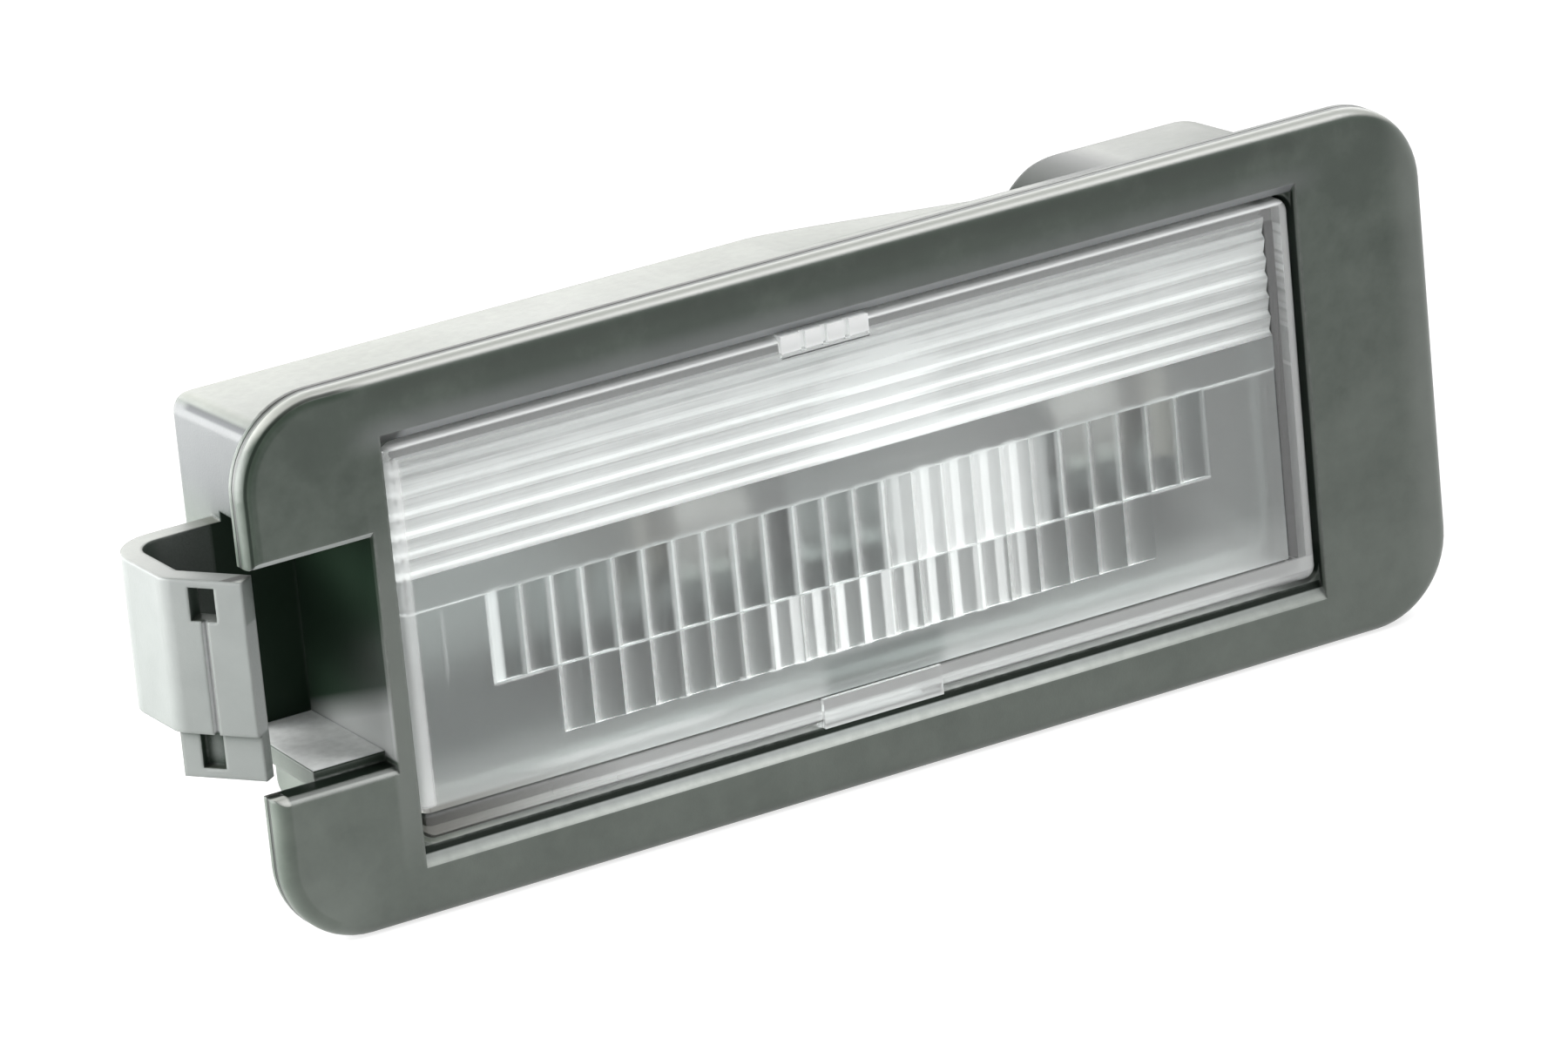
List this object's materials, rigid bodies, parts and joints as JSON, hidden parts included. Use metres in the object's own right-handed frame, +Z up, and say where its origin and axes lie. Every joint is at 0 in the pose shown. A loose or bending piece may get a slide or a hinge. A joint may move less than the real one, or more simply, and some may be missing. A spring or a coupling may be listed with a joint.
{
  "type": "number plate lamp",
  "caption": "Flush-mounted number plate lamp: black rectangular bezel with a clear fluted lens, a spring clip in the side notch and a plug socket on the back.",
  "frame": {"origin": "centre of the bezel's rear face, which seats on the vehicle's panel", "axes": "+X along the lamp away from the clip, +Y from the lens to the back, +Z up as in the picture"},
  "size_m": [0.0861, 0.0256, 0.034],
  "materials": {
    "housing_plastic": "satin moulded",
    "clear_lens": "clear polished plastic",
    "reflector_silver": "bright silvered",
    "contact_metal": "tinned strip",
    "bulb_glass": "clear",
    "cap_metal": "nickel plated",
    "filament_metal": "drawn wire"
  },
  "bodies": {
    "root": {"housing": "housing_plastic", "lens": "clear_lens", "reflector": "reflector_silver", "contact_left": "contact_metal", "contact_right": "contact_metal", "bulb_glass": "bulb_glass", "bulb_cap_left": "cap_metal", "bulb_cap_right": "cap_metal", "filament": "filament_metal", "lead_wire_left": "filament_metal", "lead_wire_right": "filament_metal"}
  },
  "joints": []
}
